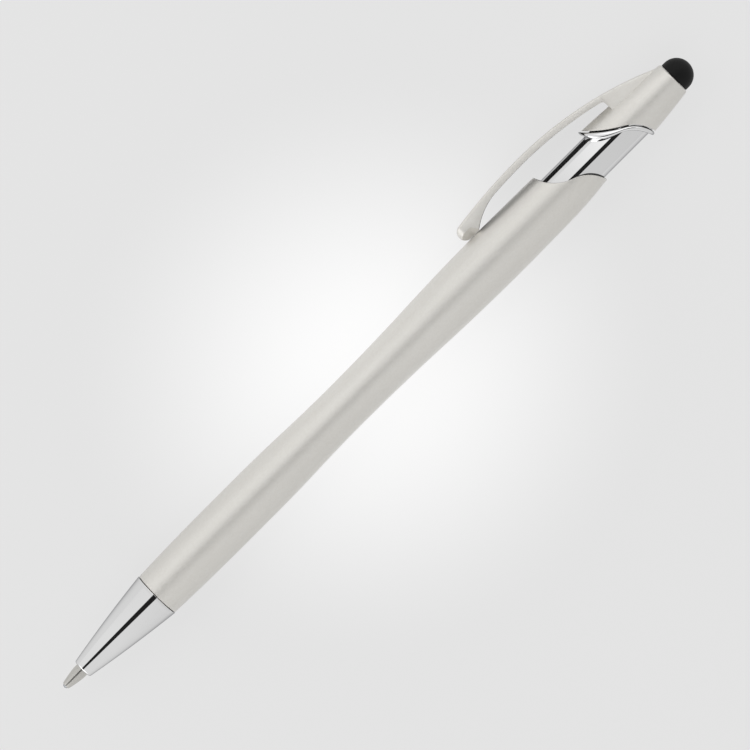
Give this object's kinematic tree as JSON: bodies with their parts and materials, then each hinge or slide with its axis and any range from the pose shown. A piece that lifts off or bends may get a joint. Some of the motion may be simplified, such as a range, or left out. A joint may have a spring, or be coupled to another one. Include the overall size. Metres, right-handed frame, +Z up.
{
  "type": "stylus pen",
  "caption": "Retractable ballpoint pen with a round waisted barrel, bright metal nose, wavy trim, arched clip and a soft touch-screen tip at the other end.",
  "frame": {"origin": "on the table under the middle of the pen's box, with the pen lying on its barrel and clip edge", "axes": "+X along the pen from the writing tip to the touch-screen tip, +Z up from the table; the clip points to +Y and a little down"},
  "size_m": [0.14, 0.0132, 0.0094],
  "materials": {
    "pearl_lacquer": "gloss",
    "chrome_plate": "polished",
    "brass": "satin",
    "nickel_silver": "satin",
    "tungsten_carbide": "polished",
    "spring_steel": "satin",
    "refill_polypropylene": "satin",
    "black_ink": "gloss",
    "cam_acetal": "satin",
    "conductive_abs": "matte",
    "silicone_rubber": "matte"
  },
  "bodies": {
    "barrel": {"barrel": "pearl_lacquer", "thread_bush": "brass", "cam_sleeve": "cam_acetal"},
    "plunger": {"plunger_tube": "chrome_plate", "trim_ring": "chrome_plate", "cap": "pearl_lacquer", "push_cam": "cam_acetal", "stylus_holder": "conductive_abs", "stylus_dome": "silicone_rubber"},
    "refill": {"refill_point": "nickel_silver", "refill_tube": "refill_polypropylene", "ink_column": "black_ink"},
    "rotor": {"rotor_cam": "cam_acetal"},
    "ball": {"writing_ball": "tungsten_carbide"},
    "spring": {"return_spring": "spring_steel"},
    "nose": {"nose_cone": "chrome_plate"}
  },
  "joints": [
    {"name": "plunger_slide", "type": "slide", "parent": "barrel", "child": "plunger", "axis": [1, 0, 0], "range_m": [-0.0012, 0.005]},
    {"name": "refill_slide", "type": "slide", "parent": "barrel", "child": "refill", "axis": [1, 0, 0], "range_m": [-0.0012, 0.005], "deforming": ["return_spring"]},
    {"name": "rotor_turn", "type": "hinge", "parent": "refill", "child": "rotor", "pos_m": [0.03544, -0.00194, 0.00468], "axis": [1, 0, 0], "range_deg": [-14.4, 60]},
    {"name": "ball_roll", "type": "hinge", "parent": "refill", "child": "ball", "pos_m": [-0.06953, -0.00194, 0.00468], "axis": [0, 0.3217, 0.9468], "continuous": true},
    {"name": "nose_draw", "type": "slide", "parent": "barrel", "child": "spring", "axis": [-1, 0, 0], "range_m": [0, 0.005]},
    {"name": "nose_turn", "type": "hinge", "parent": "spring", "child": "nose", "pos_m": [-0.04918, -0.00194, 0.00468], "axis": [-1, 0, 0], "range_deg": [0, 1800]}
  ],
  "couplings": [
    {"joint": "refill_slide", "follows": "plunger_slide", "ratio": 1},
    {"joint": "rotor_turn", "follows": "plunger_slide", "rad_per_m": 209.44},
    {"joint": "nose_turn", "follows": "nose_draw", "rad_per_m": 6283.2}
  ]
}
